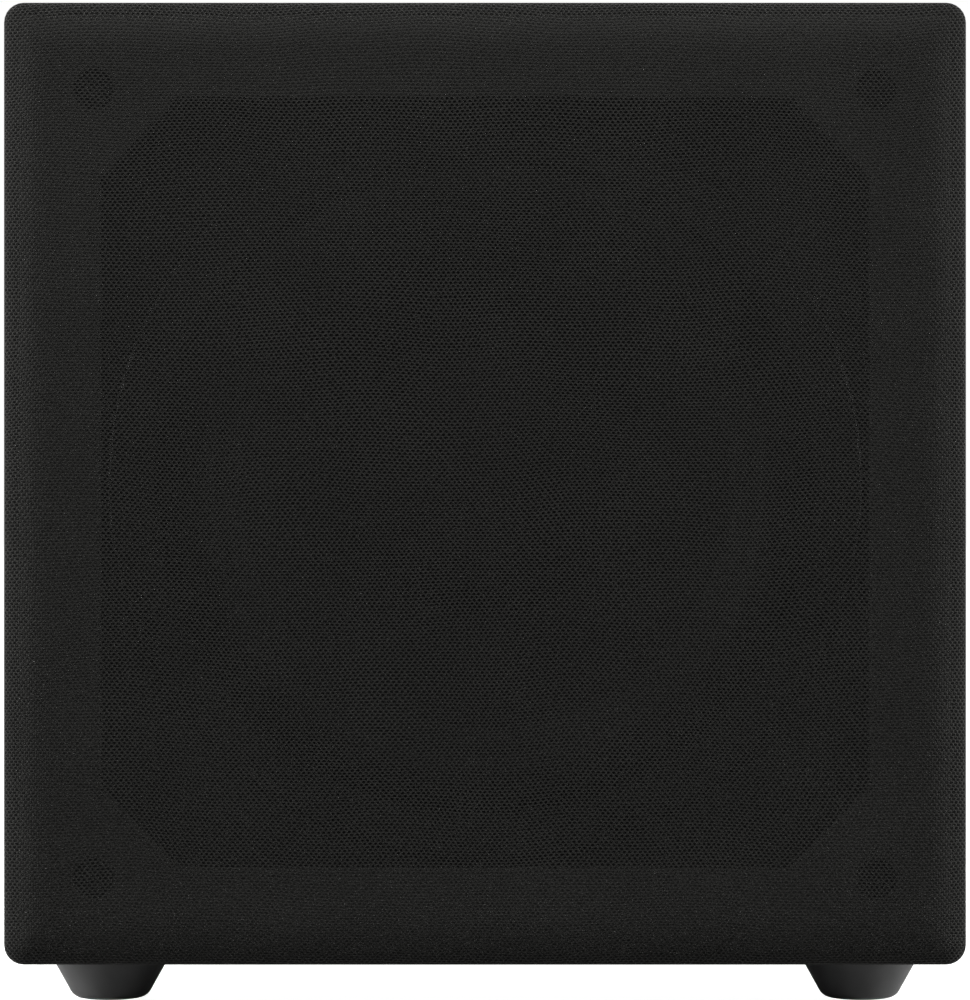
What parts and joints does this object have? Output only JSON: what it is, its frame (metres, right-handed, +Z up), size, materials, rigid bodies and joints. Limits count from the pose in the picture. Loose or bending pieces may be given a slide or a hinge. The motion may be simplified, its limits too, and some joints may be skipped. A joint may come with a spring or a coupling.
{
  "type": "powered subwoofer",
  "caption": "Near-square powered subwoofer box with a stretched black cloth grille, round rubber feet, sealed long-throw driver and a rear amplifier plate.",
  "frame": {"origin": "on the floor under the middle of the whole box, knobs and grille included", "axes": "+Z up, +Y from the grille to the amplifier plate, +X to the right seen from the front"},
  "size_m": [0.33, 0.356, 0.3465],
  "materials": {
    "black_vinyl": "black ash vinyl wrap over board",
    "baffle_board": "satin black board",
    "raw_board": "raw fibreboard",
    "wadding": "polyester wadding",
    "foot_rubber": "satin moulded rubber",
    "zinc_steel": "zinc plated",
    "black_steel": "black oxide",
    "grille_cloth": "stretched black knitted cloth",
    "frame_board": "black painted board",
    "black_plastic": "moulded black plastic",
    "soft_rubber": "black rubber",
    "foam": "closed-cell foam",
    "cast_frame": "black powder coat on die casting",
    "plated_steel": "zinc plated steel",
    "ferrite": "sintered ferrite",
    "cone_pulp": "coated paper pulp",
    "spider_cloth": "resin-treated cloth",
    "former": "thin aluminium",
    "copper": "enamelled copper",
    "amp_plate": "black powder coat",
    "heatsink": "black anodised",
    "circuit_board": "green solder mask",
    "capacitor": "sleeved can",
    "toroid": "taped winding",
    "nickel": "nickel plate",
    "jack_insert": "coloured insulator",
    "fuse_glass": "glass with metal caps",
    "rocker": "gloss black",
    "shaft_steel": "turned steel",
    "knob": "satin black plastic",
    "led": "tinted lens",
    "wire_sleeve": "PVC sleeve"
  },
  "bodies": {
    "cabinet": {"top_panel": "black_vinyl", "bottom_panel": "black_vinyl", "side_panel_left": "black_vinyl", "side_panel_right": "black_vinyl", "back_panel": "black_vinyl", "front_baffle": "baffle_board", "window_brace": "raw_board", "damping_pads": "wadding", "foot_front_left": "foot_rubber", "foot_front_right": "foot_rubber", "foot_rear_left": "foot_rubber", "foot_rear_right": "foot_rubber", "foot_hardware": "zinc_steel", "driver_screws": "black_steel", "amp_screws": "black_steel", "driver_bezel": "black_plastic", "mains_inlet": "black_plastic", "switch_housing": "black_plastic", "rca_block": "black_plastic", "slide_switches": "black_plastic", "potentiometers": "black_plastic", "driver_terminals": "black_plastic", "grille_sockets": "soft_rubber", "driver_gasket": "foam", "amp_gasket": "foam", "driver_basket": "cast_frame", "front_plate": "plated_steel", "pole_yoke": "plated_steel", "magnet_rings": "ferrite", "amp_panel": "amp_plate", "heatsink": "heatsink", "control_board": "circuit_board", "power_board": "circuit_board", "capacitors": "capacitor", "power_transformer": "toroid", "rca_shells": "nickel", "inlet_pins": "nickel", "rca_inserts": "jack_insert", "status_led": "led", "speaker_wires": "wire_sleeve"},
    "grille": {"grille_frame": "frame_board", "grille_cloth": "grille_cloth", "cloth_hem": "grille_cloth", "grille_pegs": "black_plastic"},
    "cone": {"cone": "cone_pulp", "dust_cap": "cone_pulp", "coil_former": "former", "voice_coil": "copper", "surround": "soft_rubber", "spider": "spider_cloth", "lead_wires": "copper"},
    "volume": {"volume_knob": "knob", "volume_shaft": "shaft_steel"},
    "crossover": {"crossover_knob": "knob", "crossover_shaft": "shaft_steel"},
    "phase": {"phase_slider": "black_plastic"},
    "mode": {"mode_slider": "black_plastic"},
    "rocker": {"power_rocker": "rocker"},
    "fuse_drawer": {"fuse_drawer": "black_plastic", "fuse": "fuse_glass"}
  },
  "joints": [
    {"name": "grille_pull", "type": "slide", "parent": "cabinet", "child": "grille", "axis": [0, -1, 0], "range_m": [0, 0.06]},
    {"name": "cone_stroke", "type": "slide", "parent": "cabinet", "child": "cone", "axis": [0, -1, 0], "range_m": [-0.01, 0.01], "stiffness_N_per_m": 3700, "deforming": ["surround", "spider", "lead_wires"]},
    {"name": "volume_turn", "type": "hinge", "parent": "cabinet", "child": "volume", "pos_m": [0.062, 0.17, 0.1895], "axis": [0, -1, 0], "range_deg": [-150, 150]},
    {"name": "crossover_turn", "type": "hinge", "parent": "cabinet", "child": "crossover", "pos_m": [0.018, 0.17, 0.1895], "axis": [0, -1, 0], "range_deg": [-150, 150]},
    {"name": "phase_slide", "type": "slide", "parent": "cabinet", "child": "phase", "axis": [-1, 0, 0], "range_m": [0, 0.004]},
    {"name": "mode_slide", "type": "slide", "parent": "cabinet", "child": "mode", "axis": [-1, 0, 0], "range_m": [0, 0.004]},
    {"name": "power_switch", "type": "hinge", "parent": "cabinet", "child": "rocker", "pos_m": [0.012, 0.163, 0.0955], "axis": [-1, 0, 0], "range_deg": [0, 20]},
    {"name": "fuse_drawer_pull", "type": "slide", "parent": "cabinet", "child": "fuse_drawer", "axis": [0, 1, 0], "range_m": [0, 0.022]}
  ]
}
